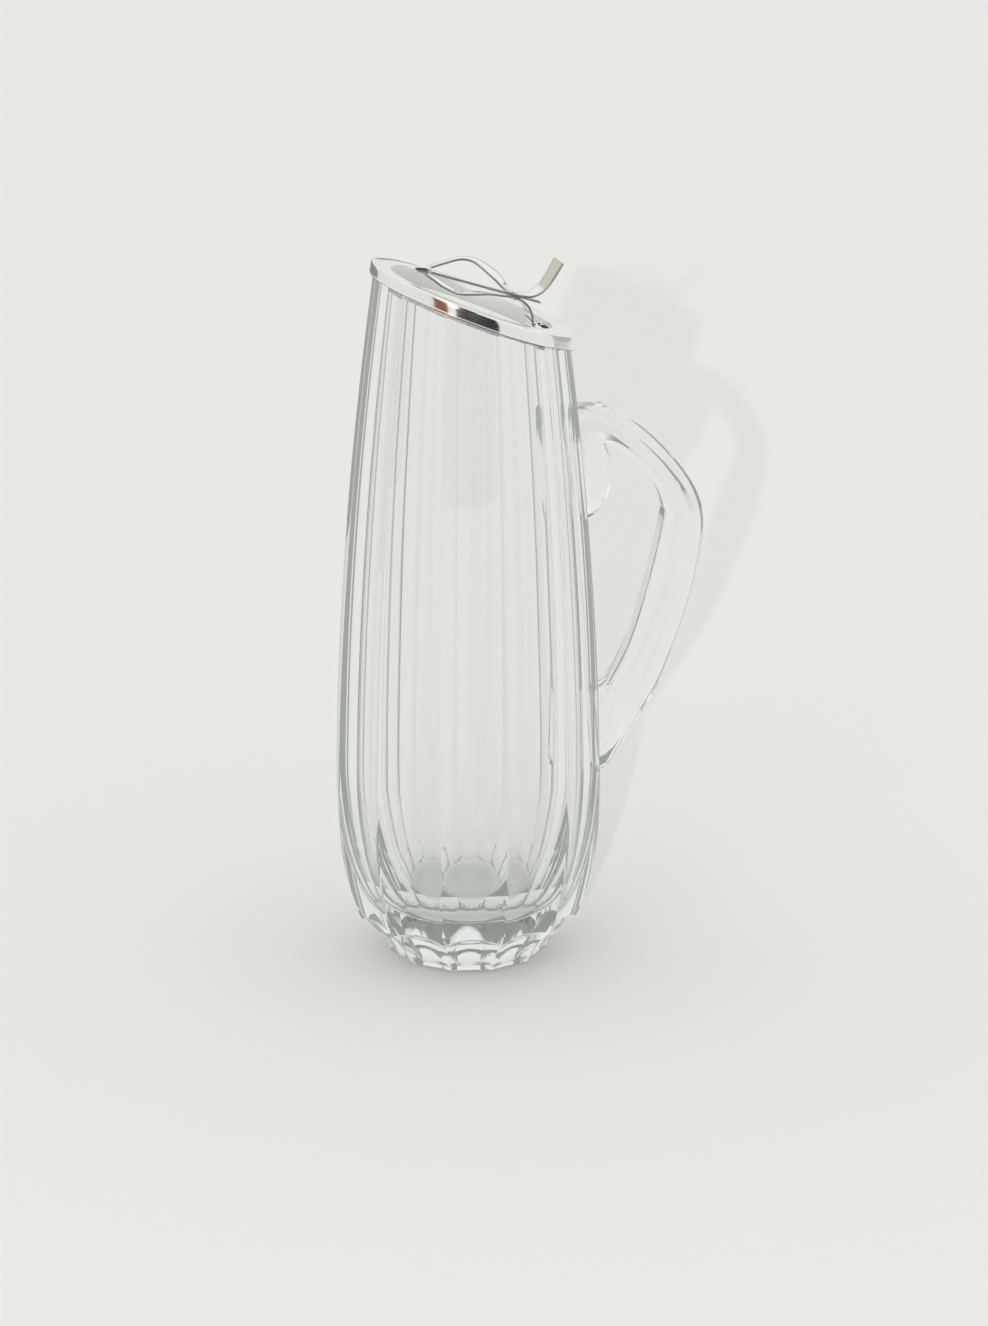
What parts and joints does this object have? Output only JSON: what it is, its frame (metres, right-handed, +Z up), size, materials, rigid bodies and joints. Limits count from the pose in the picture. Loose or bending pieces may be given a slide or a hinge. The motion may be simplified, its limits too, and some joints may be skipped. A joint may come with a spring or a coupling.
{
  "type": "decanter",
  "caption": "Tall fluted crystal pourer with a slanted silver rim, an applied glass handle and a hinged openwork ice guard over its mouth.",
  "frame": {"origin": "centre of the flat foot, on the axis of the bowl", "axes": "+Z up along the vessel, +X towards the handle, -X towards the high lip that pours, +Y to the left of someone who faces along +X"},
  "size_m": [0.152, 0.1076, 0.286],
  "materials": {
    "crystal": "clear polished lead crystal",
    "silver": "polished sterling silver",
    "pin_steel": "turned steel pin",
    "plaster": "matte setting plaster"
  },
  "bodies": {
    "vessel": {"glass_body": "crystal", "glass_handle": "crystal", "setting_cement": "plaster", "rim_collar": "silver", "hinge_bracket": "silver", "bracket_rivets": "silver", "hinge_pin": "pin_steel"},
    "guard": {"hinge_knuckle": "silver", "lever_strip": "silver", "strap_strip": "silver", "centre_strip": "silver", "junction_rivet": "silver", "tip_ferrule": "silver"}
  },
  "joints": [
    {"name": "guard_hinge", "type": "hinge", "parent": "vessel", "child": "guard", "pos_m": [0.02992, 0, 0.25409], "axis": [0, 1, 0], "range_deg": [0, 75]}
  ]
}
